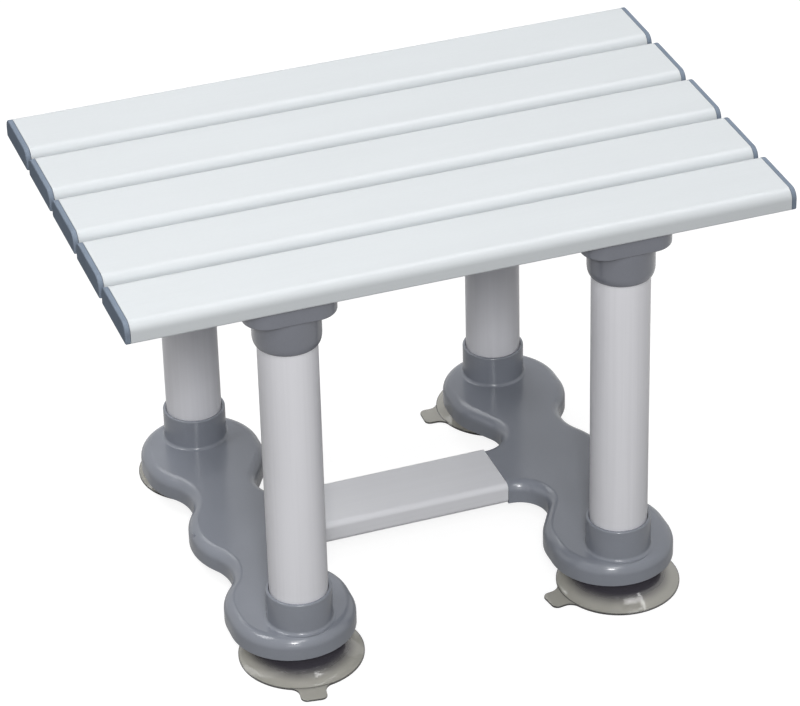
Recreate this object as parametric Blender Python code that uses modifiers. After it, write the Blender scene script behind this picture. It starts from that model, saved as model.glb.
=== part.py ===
"""Slatted bath seat on four tube legs with suction cups.

Metres, +Z up. The origin is on the floor, below the middle of the seat. +X runs along
the slats to the right, +Y to the back. Slat 1 is the back slat and slat 5 the front one.
"""

import math

import bmesh
import bpy
from mathutils import Matrix

# Seat slats
SEAT_LENGTH = 0.405
SEAT_HEIGHT = 0.266
SLAT_COUNT = 5
SLAT_PITCH = 0.0534
SLAT_WIDTH = 0.0484
SLAT_THICKNESS = 0.013
SLAT_TOP_RADIUS = 0.0064
SLAT_BOTTOM_RADIUS = 0.0014
SLAT_WALL = 0.0016
SLAT_WEB_OFFSET = 0.008

# End caps
CAP_THICKNESS = 0.0030
CAP_EDGE_RADIUS = 0.0009
CAP_PLUG_LENGTH = 0.009
CAP_PLUG_WIDTH = 0.009
CAP_PLUG_HEIGHT = 0.009
CAP_PLUG_OFFSET = 0.0138

# Legs
LEG_X = 0.1025
LEG_Y = 2 * SLAT_PITCH
LEG_RADIUS = 0.01765
LEG_WALL = 0.0018

# Seat bearers
BEARER_WIDTH = 0.056
BEARER_LENGTH = 0.256
BEARER_CORNER_RADIUS = 0.0147
BEARER_THICKNESS = 0.0112
BEARER_EDGE_RADIUS = 0.0012
BEARER_SKIN = 0.0035
BEARER_POCKET_WIDTH = 0.017
BEARER_POCKET_LENGTH = 0.160
BEARER_POCKET_OFFSET = 0.011
SOCKET_RADIUS = 0.0202
SOCKET_LENGTH = 0.0211
SOCKET_MOUTH_RADIUS = 0.0184
SOCKET_MOUTH_HEIGHT = 0.0058

# Base mouldings
BASE_BOTTOM = 0.013
BASE_TOP = 0.0275
BASE_EDGE_RADIUS = 0.0056
BASE_WALL = 0.0028
LOBE_RADIUS = 0.0385
LOBE_X = 0.1032
LOBE_Y = 0.0935
LOBE_NECK_Y = 0.0847
BULGE_RADIUS = 0.046
BULGE_REACH = 0.138
WAIST_RADIUS = 0.029
ARM_FILLET_RADIUS = 0.0178
ARM_FILLET_X = 0.0638
ARM_END_X = 0.0633
COLLAR_RADIUS = 0.0199
COLLAR_TOP = 0.0486
COLLAR_FOOT_FILLET = 0.0016
COLLAR_FOOT_DEPTH = 0.0006
BORE_FLOOR = 0.018
RIB_THICKNESS = 0.0022

# Cross bar
BAR_WIDTH = 0.046
BAR_CORNER_RADIUS = 0.0037
BAR_WALL = 0.0018
BAR_INNER_RADIUS = 0.001
SPIGOT_LENGTH = 0.0248
SPIGOT_WIDTH = 0.0406
SPIGOT_HEIGHT = 0.0096

# Suction cups
CUP_RADIUS = 0.038
CUP_RING_INNER = 0.0345
STUD_RADIUS = 0.0057
STUD_HEAD_RADIUS = 0.0082
STUD_HEAD_TOP = 0.024
TAB_REACH = 0.0495
TAB_ROOT = 0.0352
TAB_WIDTH = 0.016
TAB_TIP_RADIUS = 0.004
TAB_FLARE_RADIUS = 0.007
TAB_LOW = 0.00015
TAB_HIGH = 0.00165
TAB_ANGLES = {
    "front_left": 261.0,
    "front_right": 189.0,
    "back_left": 100.0,
    "back_right": 178.0,
}

# Screws
SCREW_OFFSET_X = 0.024
SCREW_RADIUS = 0.0016
SCREW_HOLE_RADIUS = 0.0019
SCREW_HEAD_RADIUS = 0.003
SCREW_HEAD_HEIGHT = 0.0024
SLAT_SCREW_REACH = 0.0178
BAR_SCREW_X = 0.050
BAR_SCREW_REACH = 0.0080

# Gap left between pieces that touch
GAP = 0.0003

# Edges over this angle in degrees stay sharp
SHARP_ANGLE = 35.0

# Facets round a full turn
ROUND_SIDES = 32
CUP_SIDES = 24
STUD_HOLE_SIDES = 16
SCREW_SIDES = 8

BEARER_TOP = SEAT_HEIGHT - SLAT_THICKNESS - GAP
BEARER_BOTTOM = BEARER_TOP - BEARER_THICKNESS
SOCKET_ROOF = BEARER_TOP - BEARER_SKIN
BAR_THICKNESS = BASE_TOP - BASE_BOTTOM
SIDES = {"left": -1, "right": 1}
ROWS = {"front": -1, "back": 1}

WHITE_SLAT = ((0.86, 0.87, 0.88), 0.42)
WHITE_TUBE = ((0.78, 0.78, 0.79), 0.35)
GREY_MOULDING = ((0.19, 0.20, 0.23), 0.30)
GREY_CAP = ((0.27, 0.31, 0.36), 0.40)
CLEAR_CUP = ((0.42, 0.42, 0.38), 0.20)
STEEL = ((0.60, 0.60, 0.60), 0.30)


def clear_scene():
    """Removes every object that the scene starts with."""
    for item in list(bpy.data.objects):
        bpy.data.objects.remove(item, do_unlink=True)


def new_collection(name):
    """Adds a collection to the scene."""
    collection = bpy.data.collections.new(name)
    bpy.context.scene.collection.children.link(collection)
    return collection


def coat(item, name, finish, metallic=0.0):
    """Gives an object its own Principled material."""
    colour, roughness = finish
    material = bpy.data.materials.new(name)
    material.use_nodes = True
    shader = material.node_tree.nodes["Principled BSDF"]
    shader.inputs["Base Color"].default_value = (*colour, 1.0)
    shader.inputs["Roughness"].default_value = roughness
    shader.inputs["Metallic"].default_value = metallic
    item.data.materials.append(material)


def place(name, mesh, collection, location=(0.0, 0.0, 0.0), rotation=(0.0, 0.0, 0.0)):
    """Adds a mesh to a collection as an object."""
    item = bpy.data.objects.new(name, mesh)
    item.location = location
    item.rotation_euler = rotation
    collection.objects.link(item)
    return item


def make_cutter(item):
    """Marks an object as a tool that isn't part of the seat."""
    item.hide_render = True
    item.display_type = "WIRE"
    return item


def combine(target, tool, operation):
    """Adds a Boolean modifier to the target."""
    modifier = target.modifiers.new(operation.lower() + "_" + tool.name, "BOOLEAN")
    modifier.operation = operation
    modifier.object = tool
    modifier.solver = "EXACT"


def arc(centre, radius, start, end, steps):
    """Points along an arc, from a start to an end angle in degrees, both included."""
    points = []
    for step in range(steps + 1):
        angle = math.radians(start + (end - start) * step / steps)
        points.append((centre[0] + radius * math.cos(angle), centre[1] + radius * math.sin(angle)))
    return points


def rounded_rectangle(width, height, top_radius, bottom_radius, top_steps, bottom_steps):
    """Outline centred on the origin, anticlockwise from the lower right corner."""
    x, y = width / 2, height / 2
    low, high = bottom_radius, top_radius
    points = arc((x - low, -y + low), low, -90, 0, bottom_steps)
    points += arc((x - high, y - high), high, 0, 90, top_steps)
    points += arc((-x + high, y - high), high, 90, 180, top_steps)
    points += arc((-x + low, -y + low), low, 180, 270, bottom_steps)
    return points


def rectangle(low, high):
    """Outline of a plain rectangle between two corners."""
    return [(low[0], low[1]), (high[0], low[1]), (high[0], high[1]), (low[0], high[1])]


def extruded_mesh(name, loops, length):
    """Fills flat outlines, with inner ones as holes, and extrudes them along Z about zero."""
    curve = bpy.data.curves.new(name, "CURVE")
    curve.dimensions = "2D"
    curve.fill_mode = "BOTH"
    curve.extrude = length / 2
    for loop in loops:
        spline = curve.splines.new("POLY")
        spline.points.add(len(loop) - 1)
        for point, (x, y) in zip(spline.points, loop):
            point.co = (x, y, 0.0, 1.0)
        spline.use_cyclic_u = True
    source = bpy.data.objects.new(name + "_curve", curve)
    bpy.context.scene.collection.objects.link(source)
    bpy.context.view_layer.update()
    depsgraph = bpy.context.evaluated_depsgraph_get()
    mesh = bpy.data.meshes.new_from_object(source.evaluated_get(depsgraph))
    bpy.data.objects.remove(source, do_unlink=True)
    work = bmesh.new()
    work.from_mesh(mesh)
    bmesh.ops.remove_doubles(work, verts=work.verts, dist=1e-6)
    bmesh.ops.recalc_face_normals(work, faces=work.faces)
    work.to_mesh(mesh)
    work.free()
    mesh.shade_smooth()
    mesh.set_sharp_from_angle(angle=math.radians(SHARP_ANGLE))
    return mesh


def plate_mesh(name, loop, thickness):
    """Extrudes one outline, with its top and bottom as one face each, so that it can be bevelled."""
    mesh = extruded_mesh(name, [loop], thickness)
    work = bmesh.new()
    work.from_mesh(mesh)
    flat = [edge for edge in work.edges if edge.calc_face_angle(1.0) < 1e-4]
    bmesh.ops.dissolve_edges(work, edges=flat, use_verts=False)
    work.to_mesh(mesh)
    work.free()
    return mesh


def turned(name, profile, sides, collection, location, closed=False):
    """Turns a profile of radius and height about Z. It runs down its outer side."""
    edges = [(i, i + 1) for i in range(len(profile) - 1)]
    if closed:
        edges.append((len(profile) - 1, 0))
    mesh = bpy.data.meshes.new(name)
    mesh.from_pydata([(radius, 0.0, height) for radius, height in profile], edges, [])
    item = place(name, mesh, collection, location)
    screw = item.modifiers.new("turn", "SCREW")
    screw.axis = "Z"
    screw.steps = sides
    screw.render_steps = sides
    screw.use_merge_vertices = True
    screw.merge_threshold = 1e-6
    screw.use_smooth_shade = True
    return item


def cylinders(name, centres, radius, low, high, sides, collection):
    """One cutter made of upright cylinders at the given places."""
    work = bmesh.new()
    for x, y in centres:
        bmesh.ops.create_cone(
            work,
            cap_ends=True,
            segments=sides,
            radius1=radius,
            radius2=radius,
            depth=high - low,
            matrix=Matrix.Translation((x, y, (low + high) / 2)),
        )
    mesh = bpy.data.meshes.new(name)
    work.to_mesh(mesh)
    work.free()
    return make_cutter(place(name, mesh, collection))


def boxes(name, spans, collection):
    """One tool made of boxes, each given by its lowest and highest corner."""
    work = bmesh.new()
    for low, high in spans:
        size = [b - a for a, b in zip(low, high)]
        middle = [(a + b) / 2 for a, b in zip(low, high)]
        matrix = Matrix.Translation(middle) @ Matrix.Diagonal((*size, 1.0))
        bmesh.ops.create_cube(work, size=1.0, matrix=matrix)
    mesh = bpy.data.meshes.new(name)
    work.to_mesh(mesh)
    work.free()
    return make_cutter(place(name, mesh, collection))


def mark_rim(mesh, height, weight, skip_x=None):
    """Sets the bevel weight of the rim edges at a height, but not those on the plane skip_x."""
    work = bmesh.new()
    work.from_mesh(mesh)
    layer = work.edges.layers.float.get("bevel_weight_edge")
    if layer is None:
        layer = work.edges.layers.float.new("bevel_weight_edge")
    for edge in work.edges:
        level = all(abs(vert.co.z - height) < 1e-6 for vert in edge.verts)
        rim = edge.calc_face_angle(0.0) > math.radians(60)
        kept = skip_x is None or any(abs(vert.co.x - skip_x) > 1e-6 for vert in edge.verts)
        if level and rim and kept:
            edge[layer] = weight
    work.to_mesh(mesh)
    work.free()


def round_rims(item, radius, segments):
    """Bevels the edges that carry a bevel weight."""
    bevel = item.modifiers.new("rounded_rims", "BEVEL")
    bevel.limit_method = "WEIGHT"
    bevel.width = radius
    bevel.segments = segments
    bevel.use_clamp_overlap = False


def slat_y(number):
    """Middle of a slat. Slat 1 is at the back."""
    return ((SLAT_COUNT + 1) / 2 - number) * SLAT_PITCH


def slat_outline(top_steps):
    """Cross-section of a slat, its top towards +Y."""
    return rounded_rectangle(
        SLAT_WIDTH, SLAT_THICKNESS, SLAT_TOP_RADIUS, SLAT_BOTTOM_RADIUS, top_steps, 1
    )


def slat_chambers():
    """The three hollows of the extruded slat."""
    half_web = SLAT_WALL / 2
    low = -SLAT_THICKNESS / 2 + SLAT_WALL
    high = SLAT_THICKNESS / 2 - SLAT_WALL
    reach = SLAT_WIDTH / 2 - SLAT_WALL
    radius = SLAT_TOP_RADIUS - SLAT_WALL
    step = SLAT_WALL / 16
    near = SLAT_WEB_OFFSET - half_web
    middle = rectangle((-near, low + step), (near, high - step))
    right = [(SLAT_WEB_OFFSET + half_web, low), (reach, low)]
    right += arc((reach - radius, high - radius), radius, 0, 90, 3)
    right.append((SLAT_WEB_OFFSET + half_web, high))
    left = [(-x, y) for x, y in reversed(right)]
    return [left, middle, right]


def screw_places():
    """Name and place of each slat screw: two where a slat crosses a bearer."""
    places = {}
    for number in range(1, SLAT_COUNT + 1):
        for side, sign in SIDES.items():
            for label, offset in (("inner", -SCREW_OFFSET_X), ("outer", SCREW_OFFSET_X)):
                name = f"slat_screw_{number}_{side}_{label}"
                places[name] = (sign * (LEG_X + offset), slat_y(number))
    return places


def make_slats(parts, screw_holes):
    """Five hollow planks along X, drilled from below for their screws."""
    length = SEAT_LENGTH - 2 * (CAP_THICKNESS + GAP)
    for number in range(1, SLAT_COUNT + 1):
        name = f"slat_{number}"
        mesh = extruded_mesh(name, [slat_outline(5)] + slat_chambers(), length)
        centre = (0.0, slat_y(number), SEAT_HEIGHT - SLAT_THICKNESS / 2)
        slat = place(name, mesh, parts, centre, (math.pi / 2, 0.0, math.pi / 2))
        combine(slat, screw_holes, "DIFFERENCE")
        coat(slat, name, WHITE_SLAT)


def make_end_caps(parts, tools):
    """A domed plate on each slat end, with two plugs that sit in the slat's outer hollows."""
    for number in range(1, SLAT_COUNT + 1):
        for side, sign in SIDES.items():
            name = f"end_cap_{number}_{side}"
            mesh = plate_mesh(name, slat_outline(5), CAP_THICKNESS)
            mark_rim(mesh, sign * CAP_THICKNESS / 2, 1.0)
            x = sign * (SEAT_LENGTH - CAP_THICKNESS) / 2
            centre = (x, slat_y(number), SEAT_HEIGHT - SLAT_THICKNESS / 2)
            cap = place(name, mesh, parts, centre, (math.pi / 2, 0.0, math.pi / 2))
            round_rims(cap, CAP_EDGE_RADIUS, 2)
            near = SEAT_LENGTH / 2 - CAP_THICKNESS / 2
            far = SEAT_LENGTH / 2 - CAP_THICKNESS - CAP_PLUG_LENGTH
            spans = []
            for offset in (-CAP_PLUG_OFFSET, CAP_PLUG_OFFSET):
                ends = sorted((sign * near, sign * far))
                y = slat_y(number) + offset
                z = SEAT_HEIGHT - SLAT_THICKNESS / 2
                low = (ends[0], y - CAP_PLUG_WIDTH / 2, z - CAP_PLUG_HEIGHT / 2)
                high = (ends[1], y + CAP_PLUG_WIDTH / 2, z + CAP_PLUG_HEIGHT / 2)
                spans.append((low, high))
            combine(cap, boxes(name + "_plugs", spans, tools), "UNION")
            coat(cap, name, GREY_CAP)


def make_bearers(parts, tools, screw_holes):
    """A plate under the slats on each side, with a socket for each leg and two pockets."""
    outline = rounded_rectangle(
        BEARER_WIDTH, BEARER_LENGTH, BEARER_CORNER_RADIUS, BEARER_CORNER_RADIUS, 5, 5
    )
    socket_bottom = BEARER_BOTTOM - SOCKET_LENGTH
    mouth = socket_bottom + SOCKET_MOUTH_HEIGHT
    blend = (SOCKET_RADIUS - SOCKET_MOUTH_RADIUS) / 3
    bore = LEG_RADIUS + GAP
    buried = BEARER_TOP - BEARER_SKIN / 3
    socket_profile = [
        (0.0, buried),
        (SOCKET_RADIUS, buried),
        (SOCKET_RADIUS, mouth),
        (SOCKET_RADIUS - blend, mouth - SOCKET_MOUTH_HEIGHT / 2),
        (SOCKET_MOUTH_RADIUS, socket_bottom),
        (bore, socket_bottom),
        (bore, SOCKET_ROOF),
        (0.0, SOCKET_ROOF),
    ]
    for side, sign in SIDES.items():
        name = f"seat_bearer_{side}"
        x = sign * LEG_X
        mesh = plate_mesh(name, outline, BEARER_THICKNESS)
        mark_rim(mesh, BEARER_THICKNESS / 2, 1.0)
        mark_rim(mesh, -BEARER_THICKNESS / 2, 1.0)
        bearer = place(name, mesh, parts, (x, 0.0, BEARER_TOP - BEARER_THICKNESS / 2))
        round_rims(bearer, BEARER_EDGE_RADIUS, 2)
        pockets = []
        for offset in (-BEARER_POCKET_OFFSET, BEARER_POCKET_OFFSET):
            low = (x + offset - BEARER_POCKET_WIDTH / 2, -BEARER_POCKET_LENGTH / 2)
            high = (x + offset + BEARER_POCKET_WIDTH / 2, BEARER_POCKET_LENGTH / 2)
            pockets.append(((*low, BEARER_BOTTOM - BEARER_SKIN), (*high, SOCKET_ROOF)))
        combine(bearer, boxes(name + "_pockets", pockets, tools), "DIFFERENCE")
        combine(bearer, screw_holes, "DIFFERENCE")
        wells = cylinders(
            name + "_wells", [(x, -LEG_Y), (x, LEG_Y)], (bore + SOCKET_RADIUS) / 2,
            BEARER_BOTTOM - BEARER_SKIN, (SOCKET_ROOF + buried) / 2, ROUND_SIDES, tools,
        )
        combine(bearer, wells, "DIFFERENCE")
        for row, back in ROWS.items():
            socket = turned(
                f"socket_{row}_{side}", socket_profile, ROUND_SIDES, tools, (x, back * LEG_Y, 0.0)
            )
            combine(bearer, make_cutter(socket), "UNION")
        coat(bearer, name, GREY_MOULDING)


def make_legs(parts):
    """Four plain tubes from the base collars to the bearer sockets."""
    low = BORE_FLOOR + GAP
    high = SOCKET_ROOF - GAP
    profile = [
        (LEG_RADIUS, high),
        (LEG_RADIUS, low),
        (LEG_RADIUS - LEG_WALL, low),
        (LEG_RADIUS - LEG_WALL, high),
    ]
    for row, back in ROWS.items():
        for side, sign in SIDES.items():
            name = f"leg_{row}_{side}"
            place_at = (sign * LEG_X, back * LEG_Y, 0.0)
            leg = turned(name, profile, ROUND_SIDES, parts, place_at, closed=True)
            coat(leg, name, WHITE_TUBE)


def tangent_centre(first, first_radius, second, second_radius, radius, side):
    """Centre of a circle outside two circles that touches both, on the +X or -X side."""
    dx, dy = second[0] - first[0], second[1] - first[1]
    gap = math.hypot(dx, dy)
    reach_first = first_radius + radius
    reach_second = second_radius + radius
    along = (gap * gap + reach_first ** 2 - reach_second ** 2) / (2 * gap)
    across = math.sqrt(reach_first ** 2 - along ** 2)
    ux, uy = dx / gap, dy / gap
    choices = []
    for sign in (-1, 1):
        x = first[0] + along * ux - sign * across * uy
        y = first[1] + along * uy + sign * across * ux
        choices.append((x, y))
    return max(choices, key=lambda point: point[0] * side)


def heading(start, end):
    """Angle of the line from one point to another, in degrees."""
    return math.degrees(math.atan2(end[1] - start[1], end[0] - start[0]))


def base_outline(inset, step_angle):
    """Outline of the right base moulding, anticlockwise, drawn inside by an inset."""
    bulge = (BULGE_REACH - BULGE_RADIUS, 0.0)
    neck = (LOBE_X, LOBE_NECK_Y)
    lobe = (LOBE_X, LOBE_Y)
    waist = tangent_centre(bulge, BULGE_RADIUS, neck, LOBE_RADIUS, WAIST_RADIUS, 1)
    arm_y = BAR_WIDTH / 2
    fillet = (ARM_FILLET_X, arm_y + ARM_FILLET_RADIUS)
    lean = math.degrees(math.acos((LOBE_RADIUS + ARM_FILLET_RADIUS) / math.dist(neck, fillet)))

    def sweep(centre, radius, start, end):
        steps = max(2, round(abs(end - start) / step_angle))
        return arc(centre, radius, start, end, steps)

    waist_start = heading(waist, bulge)
    waist_end = heading(waist, neck) - 360.0
    if waist_start < 0:
        waist_start += 360.0
    if waist_end < 0:
        waist_end += 360.0
    half = sweep(bulge, BULGE_RADIUS - inset, 0.0, heading(bulge, waist))
    half += sweep(waist, WAIST_RADIUS + inset, waist_start, waist_end)[1:]
    half += sweep(neck, LOBE_RADIUS - inset, heading(neck, waist), 0.0)[1:]
    half += sweep(lobe, LOBE_RADIUS - inset, 0.0, 180.0)
    inner_end = heading(neck, fillet) + 360.0 - lean
    half += sweep(neck, LOBE_RADIUS - inset, 180.0, inner_end)
    end_x = ARM_END_X + inset
    reach = ARM_FILLET_RADIUS + inset
    past = max(0.0, (end_x - fillet[0]) / reach)
    half += sweep(fillet, reach, inner_end - 180.0, -math.degrees(math.acos(past)))
    if past == 0.0:
        half.append((end_x, arm_y - inset))
    mirrored = [(x, -y) for x, y in reversed(half[1:])]
    return half + mirrored


def sided(points, sign):
    """Outline for the right or the left side, kept anticlockwise."""
    if sign > 0:
        return points
    return [(-x, y) for x, y in reversed(points)]


def make_bases(parts, tools):
    """Hollow grey mouldings with two collars, ribs below and a spigot for the cross bar."""
    thickness = BASE_TOP - BASE_BOTTOM
    ceiling = BASE_TOP - BASE_WALL
    collar_profile = [
        (0.0, COLLAR_TOP),
        (COLLAR_RADIUS - 0.0008, COLLAR_TOP),
        (COLLAR_RADIUS, COLLAR_TOP - 0.0010),
        (COLLAR_RADIUS, BASE_TOP + COLLAR_FOOT_FILLET),
        (COLLAR_RADIUS + COLLAR_FOOT_FILLET, BASE_TOP - COLLAR_FOOT_DEPTH),
        (COLLAR_RADIUS, BASE_TOP - COLLAR_FOOT_FILLET),
        (COLLAR_RADIUS, BASE_BOTTOM),
        (0.0, BASE_BOTTOM),
    ]
    for side, sign in SIDES.items():
        name = f"base_{side}"
        mesh = plate_mesh(name, sided(base_outline(0.0, 10.0), sign), thickness)
        mark_rim(mesh, thickness / 2, 1.0, sign * ARM_END_X)
        base = place(name, mesh, parts, (0.0, 0.0, BASE_BOTTOM + thickness / 2))
        round_rims(base, BASE_EDGE_RADIUS, 3)

        depth = 2 * (ceiling - BASE_BOTTOM)
        hollow = plate_mesh(name + "_hollow", sided(base_outline(BASE_WALL, 15.0), sign), depth)
        combine(base, make_cutter(place(name + "_hollow", hollow, tools, (0.0, 0.0, BASE_BOTTOM))),
                "DIFFERENCE")

        half = RIB_THICKNESS / 2
        middle = sorted((sign * (ARM_END_X + half), sign * (BULGE_REACH - half)))
        rib_low = BASE_BOTTOM + half
        rib_high = ceiling + half
        ribs = [
            ((sign * LOBE_X - half, -LEG_Y, rib_low), (sign * LOBE_X + half, LEG_Y, rib_high)),
            ((middle[0], -half, rib_low), (middle[1], half, rib_high)),
        ]
        for y in (-LOBE_RADIUS, LOBE_RADIUS):
            near = sorted((sign * (LOBE_X - LOBE_RADIUS / 2), sign * (LOBE_X + LOBE_RADIUS / 2)))
            ribs.append(((near[0], y - half, rib_low), (near[1], y + half, rib_high)))
        for number, rib in enumerate(ribs):
            combine(base, boxes(f"{name}_rib_{number}", [rib], tools), "UNION")

        for row, back in ROWS.items():
            collar = turned(
                f"collar_{row}_{side}", collar_profile, ROUND_SIDES, tools,
                (sign * LEG_X, back * LEG_Y, 0.0),
            )
            combine(base, make_cutter(collar), "UNION")
        places = [(sign * LEG_X, -LEG_Y), (sign * LEG_X, LEG_Y)]
        bores = cylinders(name + "_bores", places, LEG_RADIUS + GAP, BORE_FLOOR,
                          COLLAR_TOP + BASE_WALL, ROUND_SIDES, tools)
        combine(base, bores, "DIFFERENCE")
        stud_holes = cylinders(name + "_stud_holes", places, STUD_RADIUS + GAP,
                               BASE_BOTTOM - BASE_WALL, BORE_FLOOR + BASE_WALL,
                               STUD_HOLE_SIDES, tools)
        combine(base, stud_holes, "DIFFERENCE")

        ends = sorted((sign * (ARM_END_X - SPIGOT_LENGTH), sign * (ARM_END_X + BASE_WALL)))
        level = (BASE_BOTTOM + BASE_TOP) / 2
        low = (ends[0], -SPIGOT_WIDTH / 2, level - SPIGOT_HEIGHT / 2)
        high = (ends[1], SPIGOT_WIDTH / 2, level + SPIGOT_HEIGHT / 2)
        combine(base, boxes(name + "_spigot", [(low, high)], tools), "UNION")
        screw_hole = cylinders(name + "_screw_hole", [(sign * BAR_SCREW_X, 0.0)],
                               SCREW_HOLE_RADIUS, BASE_BOTTOM, level + SPIGOT_HEIGHT / 4,
                               SCREW_SIDES, tools)
        combine(base, screw_hole, "DIFFERENCE")
        coat(base, name, GREY_MOULDING)


def make_cross_bar(parts, tools):
    """Hollow bar that slides over the spigot of each base moulding."""
    outer = rounded_rectangle(
        BAR_WIDTH, BAR_THICKNESS, BAR_CORNER_RADIUS, BAR_CORNER_RADIUS, 4, 4
    )
    inner = rounded_rectangle(
        BAR_WIDTH - 2 * BAR_WALL, BAR_THICKNESS - 2 * BAR_WALL,
        BAR_INNER_RADIUS, BAR_INNER_RADIUS, 1, 1,
    )
    mesh = extruded_mesh("cross_bar", [outer, inner], 2 * (ARM_END_X - GAP))
    centre = (0.0, 0.0, BASE_BOTTOM + BAR_THICKNESS / 2)
    bar = place("cross_bar", mesh, parts, centre, (math.pi / 2, 0.0, math.pi / 2))
    holes = cylinders(
        "cross_bar_holes", [(-BAR_SCREW_X, 0.0), (BAR_SCREW_X, 0.0)], SCREW_HOLE_RADIUS,
        BASE_BOTTOM - BAR_WALL, BASE_BOTTOM + 2 * BAR_WALL, SCREW_SIDES, tools,
    )
    combine(bar, holes, "DIFFERENCE")
    coat(bar, "cross_bar", WHITE_TUBE)


def cup_profile():
    """Stud head, neck, shoulder, cone, flat rim and the hollow below, from the top down."""
    head_low = BORE_FLOOR + GAP
    shoulder = BASE_BOTTOM - GAP
    return [
        (0.0, STUD_HEAD_TOP),
        (STUD_HEAD_RADIUS * 0.6, STUD_HEAD_TOP - 0.0006),
        (STUD_HEAD_RADIUS, head_low + 0.0022),
        (STUD_HEAD_RADIUS, head_low),
        (STUD_RADIUS, head_low),
        (STUD_RADIUS, shoulder),
        (0.0115, shoulder),
        (0.0130, shoulder - 0.0016),
        (0.0240, 0.0072),
        (0.0330, 0.0030),
        (CUP_RADIUS, 0.0013),
        (CUP_RADIUS, 0.0004),
        (CUP_RADIUS - 0.0004, 0.0),
        (CUP_RING_INNER, 0.0),
        (0.0290, 0.0022),
        (0.0160, 0.0068),
        (0.0, 0.0082),
    ]


def tab_outline():
    """Pull tab along +X, with rounded corners at its tip and sides that flare into the disc."""
    half = TAB_WIDTH / 2
    corner = (TAB_REACH - TAB_TIP_RADIUS, half - TAB_TIP_RADIUS)
    rim = CUP_RADIUS - GAP
    flare_y = half + TAB_FLARE_RADIUS
    flare_x = math.sqrt((rim + TAB_FLARE_RADIUS) ** 2 - flare_y ** 2)
    meet = math.degrees(math.atan2(flare_y, flare_x))
    upper = arc(corner, TAB_TIP_RADIUS, 0, 90, 4)
    upper += arc((flare_x, flare_y), TAB_FLARE_RADIUS, -90, meet - 180.0, 4)
    upper.append((TAB_ROOT * math.cos(math.radians(meet)), TAB_ROOT * math.sin(math.radians(meet))))
    return upper + [(x, -y) for x, y in reversed(upper)]


def make_suction_cups(parts, tools):
    """Clear discs that turn on their studs below the legs, each with a pull tab."""
    for row, back in ROWS.items():
        for side, sign in SIDES.items():
            corner = f"{row}_{side}"
            name = f"suction_cup_{corner}"
            centre = (sign * LEG_X, back * LEG_Y, 0.0)
            cup = turned(name, cup_profile(), CUP_SIDES, parts, centre)
            mesh = extruded_mesh(name + "_tab", [tab_outline()], TAB_HIGH - TAB_LOW)
            tab = place(
                name + "_tab", mesh, tools, (centre[0], centre[1], (TAB_LOW + TAB_HIGH) / 2),
                (0.0, 0.0, math.radians(TAB_ANGLES[corner])),
            )
            combine(cup, make_cutter(tab), "UNION")
            coat(cup, name, CLEAR_CUP)


def screw_profile(reach):
    """Pan head below, pointed shank above. Zero is the seat under the head."""
    return [
        (0.0, reach),
        (SCREW_RADIUS, reach - 2 * SCREW_RADIUS),
        (SCREW_RADIUS, 0.0),
        (SCREW_HEAD_RADIUS, 0.0),
        (SCREW_HEAD_RADIUS, -SCREW_HEAD_HEIGHT * 0.4),
        (SCREW_HEAD_RADIUS * 0.6, -SCREW_HEAD_HEIGHT),
        (0.0, -SCREW_HEAD_HEIGHT),
    ]


def make_screws(parts):
    """Slat screws up through the bearers, and a screw up into each end of the cross bar."""
    slat_seat = BEARER_BOTTOM - GAP
    for name, (x, y) in screw_places().items():
        screw = turned(name, screw_profile(SLAT_SCREW_REACH), SCREW_SIDES, parts, (x, y, slat_seat))
        coat(screw, name, STEEL, 1.0)
    bar_seat = BASE_BOTTOM - GAP
    for side, sign in SIDES.items():
        name = f"bar_screw_{side}"
        place_at = (sign * BAR_SCREW_X, 0.0, bar_seat)
        screw = turned(name, screw_profile(BAR_SCREW_REACH), SCREW_SIDES, parts, place_at)
        coat(screw, name, STEEL, 1.0)


def main():
    """Builds the whole seat."""
    clear_scene()
    parts = new_collection("bath_seat")
    tools = new_collection("cutters")
    screw_holes = cylinders(
        "slat_screw_holes", list(screw_places().values()), SCREW_HOLE_RADIUS,
        BEARER_BOTTOM - BEARER_THICKNESS, BEARER_TOP + 2 * SLAT_WALL, SCREW_SIDES, tools,
    )
    make_slats(parts, screw_holes)
    make_end_caps(parts, tools)
    make_bearers(parts, tools, screw_holes)
    make_legs(parts)
    make_bases(parts, tools)
    make_cross_bar(parts, tools)
    make_suction_cups(parts, tools)
    make_screws(parts)


main()
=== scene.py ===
"""Looks of a slatted bath seat: fine meshes, finishes, a pale floor, soft lamps and a camera.

Metres, +Z up. The seat stands on z = 0, +X runs to the right along its slats and +Y to the
back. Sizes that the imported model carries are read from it, and the others are fields of the
class that uses them.
"""

from __future__ import annotations

import logging
import math
from dataclasses import dataclass, field
from enum import Enum
from typing import Iterator, Sequence

import bmesh
import bpy
from mathutils import Matrix, Vector


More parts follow.
